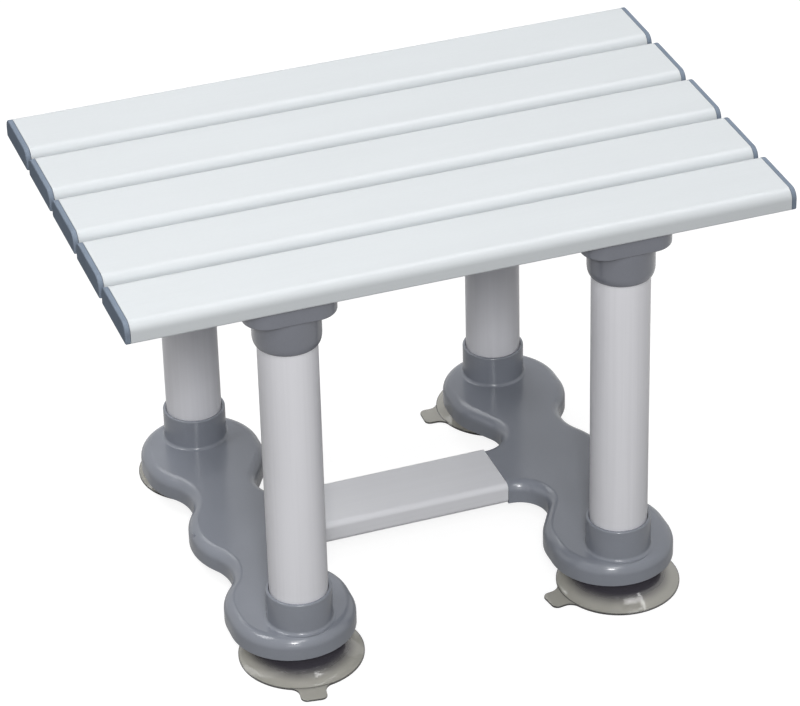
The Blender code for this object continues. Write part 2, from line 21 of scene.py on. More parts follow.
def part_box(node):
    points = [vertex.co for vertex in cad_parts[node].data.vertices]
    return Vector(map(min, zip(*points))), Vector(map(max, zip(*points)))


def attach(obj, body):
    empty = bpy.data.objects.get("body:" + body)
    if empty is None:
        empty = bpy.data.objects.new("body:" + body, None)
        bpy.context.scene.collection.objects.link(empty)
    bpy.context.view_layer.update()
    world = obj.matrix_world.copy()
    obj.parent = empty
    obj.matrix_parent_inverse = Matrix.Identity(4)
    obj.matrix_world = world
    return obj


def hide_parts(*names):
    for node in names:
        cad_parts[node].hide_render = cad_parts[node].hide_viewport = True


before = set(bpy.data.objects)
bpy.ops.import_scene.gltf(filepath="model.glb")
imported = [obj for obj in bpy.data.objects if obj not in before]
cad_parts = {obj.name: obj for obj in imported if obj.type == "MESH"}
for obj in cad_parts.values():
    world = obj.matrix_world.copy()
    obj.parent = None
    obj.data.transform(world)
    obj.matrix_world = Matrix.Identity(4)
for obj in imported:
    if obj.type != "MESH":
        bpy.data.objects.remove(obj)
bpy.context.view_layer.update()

LOG = logging.getLogger("bath_seat")

Point = tuple[float, float]
Place = tuple[float, float, float]
Colour = tuple[float, float, float]


ORIGIN: Place = (0.0, 0.0, 0.0)
LEVEL: Place = (1.0, 1.0, 0.0)  # stretch that keeps X and Y and drops the height

SHARP_ANGLE = 35.0  # degrees; edges over it stay sharp
MERGE_DISTANCE = 5e-6  # points nearer than this become one
AXIS_RADIUS = 1e-6  # stands for a radius of 0 until the points there are merged

EXTRUDED_IOR = 1.46
MOULDING_IOR = 1.5


class Choice(Enum):
    """A choice that node names tell by its word."""

    @property
    def word(self) -> str:
        """The word used in node names."""
        return self.name.lower()


class Side(Choice):
    """Left and right, as signs along X."""

    LEFT = -1
    RIGHT = 1


class Row(Choice):
    """Front and back, as signs along Y."""

    FRONT = -1
    BACK = 1


class Cut(Enum):
    """What a tool does to the piece that it meets."""

    JOIN = "UNION"
    REMOVE = "DIFFERENCE"


# Node graphs


class Graph:
    """A node tree that is built from Python expressions."""

    def __init__(self, owner: bpy.types.Material | bpy.types.World) -> None:
        """Starts an empty tree.

        Args:
            owner: The material or world that the tree belongs to.
        """
        owner.use_nodes = True
        self.tree = owner.node_tree
        self.tree.nodes.clear()

    def node(self, kind: str, settings: dict | None = None, inputs: dict | None = None) -> "Wire":
        """Adds a node.

        Args:
            kind: The node's Blender type.
            settings: Attributes, set first. "stops" holds a ramp's places and grey levels.
            inputs: Values or wires by socket name or number.

        Returns:
            A wire from the node's first output.
        """
        node = self.tree.nodes.new(kind)
        for name, value in (settings or {}).items():
            if name == "stops":
                self._set_stops(node.color_ramp, value)
            else:
                setattr(node, name, value)
        for key, value in (inputs or {}).items():
            if isinstance(value, Wire):
                self.tree.links.new(value.socket, node.inputs[key])
            else:
                node.inputs[key].default_value = value
        return Wire(self, node.outputs[0])

    @staticmethod
    def _set_stops(ramp: bpy.types.ColorRamp, stops: Sequence[tuple[float, float]]) -> None:
        """Sets a ramp's stops.

        Args:
            ramp: The ramp, which starts with two stops.
            stops: Place and grey level of each stop.
        """
        for number, (place, level) in enumerate(stops):
            if number < 2:
                stop = ramp.elements[number]
                stop.position = place
            else:
                stop = ramp.elements.new(place)
            stop.color = (level, level, level, 1.0)

    def blend(
        self, factor: "Wire | float", first: "Wire | Colour", second: "Wire | Colour"
    ) -> "Wire":
        """Mixes two colours.

        Args:
            factor: 0 for the first colour and 1 for the second.
            first: A colour or a wire.
            second: A colour or a wire.

        Returns:
            A wire with the mixed colour.
        """
        inputs = {0: factor, 6: opaque(first), 7: opaque(second)}
        mixed = self.node("ShaderNodeMix", {"data_type": "RGBA"}, inputs)
        return Wire(self, mixed.socket.node.outputs[2])

    def place(self, stretch: Place) -> "Wire":
        """The surface point in metres, stretched by a factor along X, Y and Z."""
        coordinates = self.node("ShaderNodeTexCoord").output("Object")
        return self.vector("MULTIPLY", coordinates, stretch)

    def vector(self, operation: str, first: "Wire", second: Place = ORIGIN) -> "Wire":
        """The result of a vector operation. The second vector is for those that take two."""
        return self.node("ShaderNodeVectorMath", {"operation": operation}, {0: first, 1: second})

    def length(self, vector: "Wire") -> "Wire":
        """The length of a vector."""
        return self.vector("LENGTH", vector).output("Value")

    def upward(self) -> "Wire":
        """How far the surface faces up or down.

        Returns:
            0 at a wall, up to 1 at a level face.
        """
        normal = self.node("ShaderNodeNewGeometry").output("Normal")
        parts = self.node("ShaderNodeSeparateXYZ", None, {0: normal})
        return self.node("ShaderNodeMath", {"operation": "ABSOLUTE"}, {0: parts.output("Z")})

    def noise(self, stretch: Place, detail: float = 2.0, roughness: float = 0.5) -> "Wire":
        """A wire with noise from 0 to 1.

        Args:
            stretch: Cells per metre along X, Y and Z.
            detail: Octaves.
            roughness: Weight of the finer octaves.

        Returns:
            The noise value.
        """
        inputs = {
            "Vector": self.place(stretch),
            "Scale": 1.0,
            "Detail": detail,
            "Roughness": roughness,
        }
        return self.node("ShaderNodeTexNoise", None, inputs)

    def band(self, value: "Wire", low: float, high: float) -> "Wire":
        """A mask that rises smoothly from 0 at the low value to 1 at the high one."""
        inputs = {"Value": value, "From Min": low, "From Max": high}
        return self.node("ShaderNodeMapRange", {"interpolation_type": "SMOOTHSTEP"}, inputs)

    def bump(self, height: "Wire", strength: float, depth: float) -> "Wire":
        """The normal of a bumpy surface, where a height of 1 stands for the depth in metres."""
        inputs = {"Strength": strength, "Distance": depth, "Height": height}
        return self.node("ShaderNodeBump", None, inputs)

    def surface(self, inputs: dict) -> "Wire":
        """A Principled shader with these values or wires by socket name."""
        return self.node("ShaderNodeBsdfPrincipled", None, inputs)

    def finish(self, shader: "Wire", kind: str = "ShaderNodeOutputMaterial") -> None:
        """Joins a shader to a new output node of this kind."""
        output = self.tree.nodes.new(kind)
        self.tree.links.new(shader.socket, output.inputs["Surface"])


@dataclass(frozen=True)
class Wire:
    """An output socket that takes part in Python expressions."""

    graph: Graph
    socket: bpy.types.NodeSocket

    def output(self, name: str) -> "Wire":
        """Another output of the same node."""
        return Wire(self.graph, self.socket.node.outputs[name])

    def _maths(self, operation: str, first: "Wire | float", second: "Wire | float") -> "Wire":
        """The result of a Math node."""
        return self.graph.node("ShaderNodeMath", {"operation": operation}, {0: first, 1: second})

    def __add__(self, other: "Wire | float") -> "Wire":
        """Sum."""
        return self._maths("ADD", self, other)

    def __radd__(self, other: float) -> "Wire":
        """Sum with a number on the left."""
        return self._maths("ADD", other, self)

    def __sub__(self, other: "Wire | float") -> "Wire":
        """Difference."""
        return self._maths("SUBTRACT", self, other)

    def __rsub__(self, other: float) -> "Wire":
        """Difference with a number on the left."""
        return self._maths("SUBTRACT", other, self)

    def __mul__(self, other: "Wire | float") -> "Wire":
        """Product."""
        return self._maths("MULTIPLY", self, other)

    def __rmul__(self, other: float) -> "Wire":
        """Product with a number on the left."""
        return self._maths("MULTIPLY", other, self)


def opaque(colour: Wire | Colour) -> Wire | tuple[float, float, float, float]:
    """Adds an alpha of 1 to a colour, and leaves a wire as it is."""
    return colour if isinstance(colour, Wire) else (*colour, 1.0)


def shade(colour: Colour, factor: float) -> Colour:
    """A colour made lighter or darker by a factor."""
    return tuple(min(1.0, level * factor) for level in colour)


def grey(level: float) -> Colour:
    """A grey of this level, from 0 for black to 1 for white."""
    return (level, level, level)


# Finishes


@dataclass(frozen=True)
class Finish:
    """What every finish has: a name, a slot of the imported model, a colour and a roughness."""

    name: str
    slot: str
    colour: Colour
    roughness: float

    def build(self) -> bpy.types.Material:
        """Makes the material, unless it is there already.

        Returns:
            The material.
        """
        found = bpy.data.materials.get(self.name)
        if found:
            return found
        material = bpy.data.materials.new(self.name)
        graph = Graph(material)
        graph.finish(self.shader(graph))
        return material

    def shader(self, graph: Graph) -> Wire:
        """The finish's shader, made in a node tree."""
        raise NotImplementedError

    def toned(
        self, graph: Graph, value: Wire, dark: float, light: float, spread: float = 0.15
    ) -> Wire:
        """The colour times a dark or light factor, as a value lies below or above a half."""
        mask = graph.band(value, 0.5 - spread, 0.5 + spread)
        return graph.blend(mask, shade(self.colour, dark), shade(self.colour, light))


@dataclass(frozen=True)
class ExtrudedPlank(Finish):
    """White plastic plank, satin, with fine lines along X from the die."""

    line_depth: float = 0.00002

    def shader(self, graph: Graph) -> Wire:
        """Fine die lines, and a cloudy change of white along the plank.

        Args:
            graph: The material's node tree.

        Returns:
            The shader.
        """
        lines = graph.noise((7.0, 1500.0, 1500.0), 3.0, 0.6)
        clouds = graph.noise((9.0, 45.0, 45.0), 3.0, 0.55)
        pores = graph.noise((600.0, 900.0, 900.0), 2.0, 0.5)
        tone = lines * 0.35 + clouds * 0.4 + pores * 0.25
        height = lines * 0.6 + pores * 0.4
        return graph.surface({
            "Base Color": self.toned(graph, tone, 0.982, 1.012),
            "Roughness": self.roughness + (clouds - 0.5) * 0.12,
            "Normal": graph.bump(height, 0.45, self.line_depth),
            "IOR": EXTRUDED_IOR,
        })


@dataclass(frozen=True)
class DrawnTube(Finish):
    """White plastic tube or bar, smooth, with faint streaks along its length."""

    streaks: Place = (500.0, 500.0, 6.0)
    contrast: float = 0.025
    streak_depth: float = 0.00002

    def shader(self, graph: Graph) -> Wire:
        """Faint streaks and a slight change of grey.

        Args:
            graph: The material's node tree.

        Returns:
            The shader.
        """
        streak = graph.noise(self.streaks, 2.0, 0.5)
        clouds = graph.noise((14.0, 14.0, 9.0), 2.0, 0.5)
        tone = streak * 0.5 + clouds * 0.5
        return graph.surface({
            "Base Color": self.toned(graph, tone, 1.0 - self.contrast, 1.0 + self.contrast),
            "Roughness": self.roughness + (streak - 0.5) * 0.10,
            "Normal": graph.bump(streak, 0.25, self.streak_depth),
            "IOR": EXTRUDED_IOR,
        })


@dataclass(frozen=True)
class GlossMoulding(Finish):
    """Grey moulded plastic with a gloss, soft flow marks and a slight orange peel."""

    peel_depth: float = 0.00005

    def shader(self, graph: Graph) -> Wire:
        """Flow marks in colour and gloss, orange peel in the normal.

        Args:
            graph: The material's node tree.

        Returns:
            The shader.
        """
        flow = graph.noise((22.0, 15.0, 30.0), 3.0, 0.5)
        peel = graph.noise((210.0, 210.0, 210.0), 2.0, 0.4)
        grit = graph.noise((1700.0, 1700.0, 1700.0), 1.0, 0.5)
        tone = flow * 0.7 + grit * 0.3
        return graph.surface({
            "Base Color": self.toned(graph, tone, 0.955, 1.045, spread=0.20),
            "Roughness": self.roughness + (flow - 0.5) * 0.08,
            "Normal": graph.bump(peel, 0.25, self.peel_depth),
            "IOR": MOULDING_IOR,
        })


@dataclass(frozen=True)
class SatinCap(Finish):
    """Blue-grey satin plastic of the end caps, with a fine spark-eroded grain."""

    grain_depth: float = 0.00003
    gloss: float = 0.0

    def shader(self, graph: Graph) -> Wire:
        """Fine grain, and a slight change of tone.

        Args:
            graph: The material's node tree.

        Returns:
            The shader.
        """
        grain = graph.noise((1300.0, 1300.0, 1300.0), 2.0, 0.6)
        clouds = graph.noise((60.0, 60.0, 60.0), 2.0, 0.5)
        tone = grain * 0.5 + clouds * 0.5
        return graph.surface({
            "Base Color": self.toned(graph, tone, 0.94, 1.06),
            "Roughness": self.roughness + (grain - 0.5) * 0.12,
            "Normal": graph.bump(grain, 0.35, self.grain_depth),
            "Specular IOR Level": self.gloss,
        })


@dataclass(frozen=True)
class ClearCup(Finish):
    """Smoky soft plastic that lets some light through, with painted shade round its stud and a
    painted dark outline at its edges.
    """

    clearness: float = 0.55
    # painted shade round the stud, where the lobe above shades the cup and mirrors dark in it
    stud_shade_colour: Colour = (0.075, 0.070, 0.085)
    # painted dark outline, used on the ring at the rim's edge and on the steep faces
    edge_colour: Colour = (0.10, 0.10, 0.10)
    stud_shade_radius: float = 0.0240
    shade_end_radius: float = 0.0340
    rim_outline_steps: tuple[float, ...] = (0.0373, 0.0378, 0.0381, 0.0385)
    ripple_depth: float = 0.0001

    def radius(self, graph: Graph) -> Wire:
        """Distance from the axis of the nearest cup, as the cups stand at mirrored places.

        Args:
            graph: The material's node tree.

        Returns:
            The distance in metres.
        """
        axis = middle("leg_back_right")
        spot = graph.vector("ABSOLUTE", graph.place(LEVEL))
        return graph.length(graph.vector("SUBTRACT", spot, (axis.x, axis.y, 0.0)))

    def shader(self, graph: Graph) -> Wire:
        """Smoky tone, painted shade by the stud, painted dark edges and a soft uneven surface.

        Args:
            graph: The material's node tree.

        Returns:
            The shader.
        """
        clouds = graph.noise((40.0, 40.0, 40.0), 3.0, 0.5)
        ripple = graph.noise((120.0, 120.0, 120.0), 2.0, 0.4)
        radius = self.radius(graph)
        # painted shade: darkest round the stud, fading out between the two radii
        out_of_shade = graph.band(radius + (clouds - 0.5) * 0.003, self.stud_shade_radius, self.shade_end_radius)
        tone = graph.blend(out_of_shade, self.stud_shade_colour, self.colour)
        # painted dark outline: a dark ring at the rim's edge and darker steep faces
        rise, full, fade, end = self.rim_outline_steps
        rim = graph.band(radius, rise, full) * (1.0 - graph.band(radius, fade, end))
        steep_shade = 1.0 - graph.band(graph.upward(), 0.35, 0.75)
        edge = graph.node("ShaderNodeClamp", None, {0: rim * 0.8 + steep_shade})
        return graph.surface({
            "Base Color": graph.blend(edge, tone, self.edge_colour),
            "Roughness": self.roughness + (clouds - 0.5) * 0.06,
            "Normal": graph.bump(ripple, 0.25, self.ripple_depth),
            "IOR": MOULDING_IOR,
            "Transmission Weight": self.clearness,
        })


@dataclass(frozen=True)
class ScrewSteel(Finish):
    """Plain stainless steel."""

    mark_depth: float = 0.00003

    def shader(self, graph: Graph) -> Wire:
        """Fine turning marks.

        Args:
            graph: The material's node tree.

        Returns:
            The shader.
        """
        marks = graph.noise((900.0, 900.0, 2500.0), 2.0, 0.5)
        return graph.surface({
            "Base Color": self.toned(graph, marks, 0.9, 1.08),
            "Metallic": 1.0,
            "Roughness": self.roughness + (marks - 0.5) * 0.15,
            "Normal": graph.bump(marks, 0.2, self.mark_depth),
        })


SLAT_WHITE = ExtrudedPlank("plank_white", "slat_white", (0.675, 0.707, 0.728), 0.42)
TUBE_WHITE = DrawnTube("leg_white", "tube_white", (0.893, 0.892, 0.932), 0.33)
BAR_WHITE = DrawnTube(
    "cross_bar_white", "bar_white", (0.900, 0.905, 0.940), 0.33, (6.0, 500.0, 500.0), 0.012
)
BASE_GREY = GlossMoulding("base_grey", "grey_moulding", (0.285, 0.304, 0.349), 0.19)
# a darker copy of the base's grey, which paints the dimmer light at the seat's height onto the
# bearers
BEARER_SHADED_GREY = GlossMoulding("bearer_grey", "grey_moulding", (0.205, 0.215, 0.250), 0.24)
CAP_GREY = SatinCap("end_cap_grey", "cap_grey", (0.235, 0.282, 0.352), 0.42)
CUP_SMOKE = ClearCup("cup_smoke", "cup_clear", (0.490, 0.480, 0.435), 0.09)
STEEL = ScrewSteel("stainless_steel", "screw_steel", (0.62, 0.62, 0.61), 0.30)


# Meshes


def arc(centre: Point, radius: float, start: float, end: float, steps: int) -> list[Point]:
    """Points along an arc.

    Args:
        centre: Middle of the arc.
        radius: Its radius.
        start: First angle in degrees.
        end: Last angle in degrees.
        steps: Number of stretches.

    Returns:
        Both ends and the points between them.
    """
    points = []
    for step in range(steps + 1):
        angle = math.radians(start + (end - start) * step / steps)
        points.append((centre[0] + radius * math.cos(angle), centre[1] + radius * math.sin(angle)))
    return points


@dataclass(frozen=True)
class RoundedBox:
    """Cross-section with rounded corners, its top towards the second axis."""

    width: float
    height: float
    top_radius: float
    bottom_radius: float
    steps: int = 10
    least_radius: float = 0.0002

    def outline(self, inset: float = 0.0) -> list[Point]:
        """The outline drawn inside itself, anticlockwise from the lower right corner.

        Args:
            inset: Distance to the inside.

        Returns:
            As many points for every inset.
        """
        x, y = self.width / 2 - inset, self.height / 2 - inset
        low = max(self.bottom_radius - inset, self.least_radius)
        high = max(self.top_radius - inset, self.least_radius)
        points = arc((x - low, -y + low), low, -90, 0, self.steps)
        points += arc((x - high, y - high), high, 0, 90, self.steps)
        points += arc((-x + high, y - high), high, 90, 180, self.steps)
        points += arc((-x + low, -y + low), low, 180, 270, self.steps)
        return points


def rounding(radius: float, steps: int) -> list[tuple[float, float]]:
    """Steps round a quarter-circle edge.

    Args:
        radius: The edge's radius.
        steps: Number of stretches.

    Returns:
        Inset and distance below the flat, from the side up to the flat.
    """
    quarter = []
    for step in range(steps + 1):
        angle = math.pi / 2 * step / steps
        quarter.append((radius * (1 - math.cos(angle)), radius * (1 - math.sin(angle))))
    return quarter


class Skin:
    """A closed surface that is made ring by ring."""

    def __init__(self) -> None:
        """Starts an empty surface."""
        self.work = bmesh.new()

    def ring(self, points: Sequence[Place]) -> list[bmesh.types.BMVert]:
        """Adds the points of a ring."""
        return [self.work.verts.new(point) for point in points]

    def bridge(self, first: list[bmesh.types.BMVert], second: list[bmesh.types.BMVert]) -> None:
        """Joins two rings of as many points with quads.

        Args:
            first: One ring.
            second: The ring next to it.
        """
        count = len(first)
        for number in range(count):
            after = (number + 1) % count
            self.work.faces.new((first[number], first[after], second[after], second[number]))

    def stack(self, rings: Sequence[Sequence[Place]], closed: bool = False) -> None:
        """Joins rings in a row.

        Args:
            rings: The rings' points.
            closed: True if the last ring meets the first, as round a tube's wall. Otherwise
                the first and the last ring get a flat cap.
        """
        made = [self.ring(points) for points in rings]
        for first, second in zip(made, made[1:]):
            self.bridge(first, second)
        if closed:
            self.bridge(made[-1], made[0])
        else:
            self.work.faces.new(made[0])
            self.work.faces.new(made[-1])

    def turn(self, profile: Sequence[Point], centre: Point, sides: int, closed: bool) -> None:
        """Turns a profile of radius and height about an upright axis.

        Args:
            profile: The profile. A closed one is a ring's section.
            centre: Place of the axis.
            sides: Facets round the axis.
            closed: True for a ring. Otherwise both ends lie on the axis or get a flat cap.
        """
        rings = []
        for radius, height in profile:
            around = arc(centre, max(radius, AXIS_RADIUS), 0, 360, sides)[:-1]
            rings.append([(x, y, height) for x, y in around])
        self.stack(rings, closed)

    def finish(self, name: str) -> bpy.types.Object:
        """Makes the object.

        Args:
            name: Its name.

        Returns:
            The object, in the scene.
        """
        bmesh.ops.remove_doubles(self.work, verts=self.work.verts, dist=MERGE_DISTANCE)
        bmesh.ops.recalc_face_normals(self.work, faces=self.work.faces)
        mesh = bpy.data.meshes.new(name)
        self.work.to_mesh(mesh)
        self.work.free()
        piece = add(name, mesh)
        smooth(piece)
        return piece


def add(name: str, data: bpy.types.ID) -> bpy.types.Object:
    """Adds an object to the scene.

    Args:
        name: Its name.
        data: Its mesh, camera or light.

    Returns:
        The object.
    """
    item = bpy.data.objects.new(name, data)
    bpy.context.scene.collection.objects.link(item)
    return item


def stacked(name: str, rings: Sequence[Sequence[Place]], closed: bool = False) -> bpy.types.Object:
    """One object of rings that are joined in a row.

    Args:
        name: Its name.
        rings: The rings' points.
        closed: True if the last ring meets the first.

    Returns:
        The object.
    """
    skin = Skin()
    skin.stack(rings, closed)
    return skin.finish(name)


def across(x: float, centre: Vector, outline: Sequence[Point]) -> list[Place]:
    """An outline in Y and Z round a centre, at one place along X."""
    return [(x, centre.y + y, centre.z + z) for y, z in outline]


def smooth(piece: bpy.types.Object) -> None:
    """Shades a piece smooth, apart from its sharp edges."""
    piece.data.shade_smooth()
    piece.data.set_sharp_from_angle(angle=math.radians(SHARP_ANGLE))


def weigh_normals(piece: bpy.types.Object) -> None:
    """Lets large faces set the normals, so that a flat stays flat up to its rounded edge.

    Args:
        piece: The piece.
    """
    weighted = piece.modifiers.new("flat_faces", "WEIGHTED_NORMAL")
    weighted.keep_sharp = True
    weighted.weight = 100


def prism(name: str, spans: Sequence[tuple[Place, Place]]) -> bpy.types.Object:
    """One object of separate boxes.

    Args:
        name: Its name.
        spans: Lowest and highest corner of each box.

    Returns:
        The object.
    """
    skin = Skin()
    for low, high in spans:
        rings = []
        for z in (low[2], high[2]):
            rings.append([(low[0], low[1], z), (high[0], low[1], z),
                          (high[0], high[1], z), (low[0], high[1], z)])
        skin.stack(rings)
    return skin.finish(name)


def combine(piece: bpy.types.Object, tool: bpy.types.Object, cut: Cut) -> None:
    """Cuts a tool out of a piece or joins it on, and removes the tool.

    Args:
        piece: The piece that is kept.
        tool: The tool.
        cut: What the tool does.
    """
    modifier = piece.modifiers.new("tool", "BOOLEAN")
    modifier.operation = cut.value
    modifier.object = tool
    modifier.solver = "EXACT"
    bpy.context.view_layer.update()
    depsgraph = bpy.context.evaluated_depsgraph_get()
    result = bpy.data.meshes.new_from_object(piece.evaluated_get(depsgraph))
    piece.modifiers.clear()
    piece.data = result
    bpy.data.objects.remove(tool, do_unlink=True)
    smooth(piece)


def mirrored(piece: bpy.types.Object, name: str) -> bpy.types.Object:
    """A copy of a piece on the other side of the plane x = 0.

    Args:
        piece: The piece.
        name: Name of the copy.

    Returns:
        The copy.
    """
    copy = add(name, piece.data.copy())
    copy.data.transform(Matrix.Scale(-1, 4, (1, 0, 0)))
    copy.data.flip_normals()
    return copy


def dress(
    piece: bpy.types.Object, node: str, finish: Finish, body: str = "seat"
) -> bpy.types.Object:
    """Gives a piece its finish, sets it on its body and lets it stand for a node.

    Args:
        piece: The piece.
        node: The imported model's node that it replaces.
        finish: Its finish.
        body: The body that it moves with.

    Returns:
        The piece.
    """
    piece.data.materials.clear()
    piece.data.materials.append(finish.build())
    weigh_normals(piece)
    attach(piece, body)
    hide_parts(node)
    return piece


def middle(node: str) -> Vector:
    """Middle of a node's box."""
    low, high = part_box(node)
    return (low + high) / 2


def extent(node: str) -> Vector:
    """Size of a node's box."""
    low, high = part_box(node)
    return high - low


def corners() -> Iterator[str]:
    """The words of the four corners, as node names have them."""
    return (f"{row.word}_{side.word}" for row in Row for side in Side)


# Sub-assemblies


@dataclass
class SeatTop:
    """Five slats with a cap on each end."""

    count: int = 5
    top_radius: float = 0.0064
    bottom_radius: float = 0.0014
    cap_plate: float = 0.0030
    cap_edge: float = 0.0009

    def section(self, node: str) -> RoundedBox:
        """Cross-section of a slat, from its box."""
        size = extent(node)
        return RoundedBox(size.y, size.z, self.top_radius, self.bottom_radius, 12)

    def build_slat(self, number: int) -> bpy.types.Object:
        """Makes a slat.

        Args:
            number: 1 for the back slat.

        Returns:
            The slat.
        """
        node = f"slat_{number}"
        low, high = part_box(node)
        centre = middle(node)
        outline = self.section(node).outline()
        rings = [across(x, centre, outline) for x in (low.x, high.x)]
        return dress(stacked(f"{node}_plank", rings), node, SLAT_WHITE)

    def build_cap(self, number: int, side: Side) -> bpy.types.Object:
        """Makes an end cap, a plate with a rounded outer edge. Its plugs don't show in the slat.

        Args:
            number: Number of the slat.
            side: Its end.

        Returns:
            The cap.
        """
        node = f"end_cap_{number}_{side.word}"
        slat = f"slat_{number}"
        centre = middle(slat)
        section = self.section(slat)
        outer = side.value * max(abs(corner.x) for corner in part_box(node))
        inner = outer - side.value * self.cap_plate
        rings = [across(inner, centre, section.outline())]
        for inset, below in rounding(self.cap_edge, steps=8):
            rings.append(across(outer - side.value * below, centre, section.outline(inset)))
        return dress(stacked(f"{node}_plate", rings), node, CAP_GREY)

    def build(self) -> Iterator[bpy.types.Object]:
        """Makes the slats and caps one by one.

        Returns:
            The pieces.
        """
        for number in range(1, self.count + 1):
            yield self.build_slat(number)
            for side in Side:
                yield self.build_cap(number, side)


@dataclass
class LegTubes:
    """Four white tubes."""

    wall: float = 0.0018
    edge: float = 0.0004
    sides: int = 96

    def build(self) -> Iterator[bpy.types.Object]:
        """Makes the tubes one by one.

        Returns:
            The pieces.
        """
        for corner in corners():
            node = f"leg_{corner}"
            low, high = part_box(node)
            centre = middle(node)
            radius = extent(node).x / 2
            inner = radius - self.wall
            edge = self.edge
            profile = [
                (radius - edge, high.z),
                (radius, high.z - edge),
                (radius, low.z + edge),
                (radius - edge, low.z),
                (inner, low.z),
                (inner, high.z),
            ]
            skin = Skin()
            skin.turn(profile, (centre.x, centre.y), self.sides, closed=True)
            yield dress(skin.finish(f"{node}_tube"), node, TUBE_WHITE)


@dataclass
class SeatBearers:
    """A grey plate under the slats on each side, with two leg sockets."""

    plate: float = 0.0112
    corner: float = 0.0147
    edge: float = 0.0012
    skin_thickness: float = 0.0035
    socket_radius: float = 0.0202
    mouth_radius: float = 0.0183
    mouth_height: float = 0.0058
    pocket_width: float = 0.017
    pocket_length: float = 0.160
    pocket_offset: float = 0.011
    gap: float = 0.0003
    sides: int = 96

    def plate_piece(self, name: str, low: Vector, high: Vector) -> bpy.types.Object:
        """The plate with rounded rims.

        Args:
            name: Its name.
            low: Lowest corner of the node.
            high: Highest corner of the node.

        Returns:
            The plate.
        """
        centre = (low + high) / 2
        section = RoundedBox(high.x - low.x, high.y - low.y, self.corner, self.corner, 12)
        edge = rounding(self.edge, steps=4)
        bottom = high.z - self.plate
        levels = [(bottom + below, inset) for inset, below in reversed(edge)]
        levels += [(high.z - below, inset) for inset, below in edge]
        rings = []
        for z, inset in levels:
            rings.append([(centre.x + x, centre.y + y, z) for x, y in section.outline(inset)])
        return stacked(name, rings)

    def socket_profile(self, low: float, high: float, bore: float) -> list[Point]:
        """Section of a socket's wall, closed round its blind bore.

        Args:
            low: Height of the mouth.
            high: Height of the plate's top.
            bore: Radius of the bore.

        Returns:
            Radius and height of each point.
        """
        roof = high - self.skin_thickness
        buried = roof + self.skin_thickness / 2
        profile = [(0.0, buried), (self.socket_radius, buried)]
        reach = self.socket_radius - self.mouth_radius
        for inset, below in rounding(1.0, steps=8):
            radius = self.mouth_radius + reach * (1 - inset)
            profile.append((radius, low + self.mouth_height * below))
        profile += [(bore, low), (bore, roof), (0.0, roof)]
        return profile

    def build(self) -> Iterator[bpy.types.Object]:
        """Makes the right bearer, and the left one as its mirror image.

        Returns:
            The pieces.
        """
        node = "seat_bearer_right"
        low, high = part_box(node)
        x = (low.x + high.x) / 2
        bearer = self.plate_piece(f"{node}_moulding", low, high)
        bottom = high.z - self.plate
        roof = high.z - self.skin_thickness
        half = self.pocket_length / 2
        pockets = []
        for offset in (-self.pocket_offset, self.pocket_offset):
            near = x + offset - self.pocket_width / 2
            far = x + offset + self.pocket_width / 2
            pockets.append(((near, -half, bottom - self.plate), (far, half, roof)))
        combine(bearer, prism("pockets", pockets), Cut.REMOVE)
        bore = extent("leg_front_right").x / 2 + self.gap
        wells = Skin()
        sockets = Skin()
        well = (bore + self.socket_radius) / 2
        for row in Row:
            centre = (x, middle(f"leg_{row.word}_right").y)
            top = roof + self.skin_thickness / 4
            wells.turn([(well, top), (well, bottom - self.plate)], centre, self.sides, closed=False)
            profile = self.socket_profile(low.z, high.z, bore)
            sockets.turn(profile, centre, self.sides, closed=False)
        combine(bearer, wells.finish("wells"), Cut.REMOVE)
        combine(bearer, sockets.finish("sockets"), Cut.JOIN)
        twin = mirrored(bearer, "seat_bearer_left_moulding")
        yield dress(bearer, node, BEARER_SHADED_GREY)
        yield dress(twin, "seat_bearer_left", BEARER_SHADED_GREY)


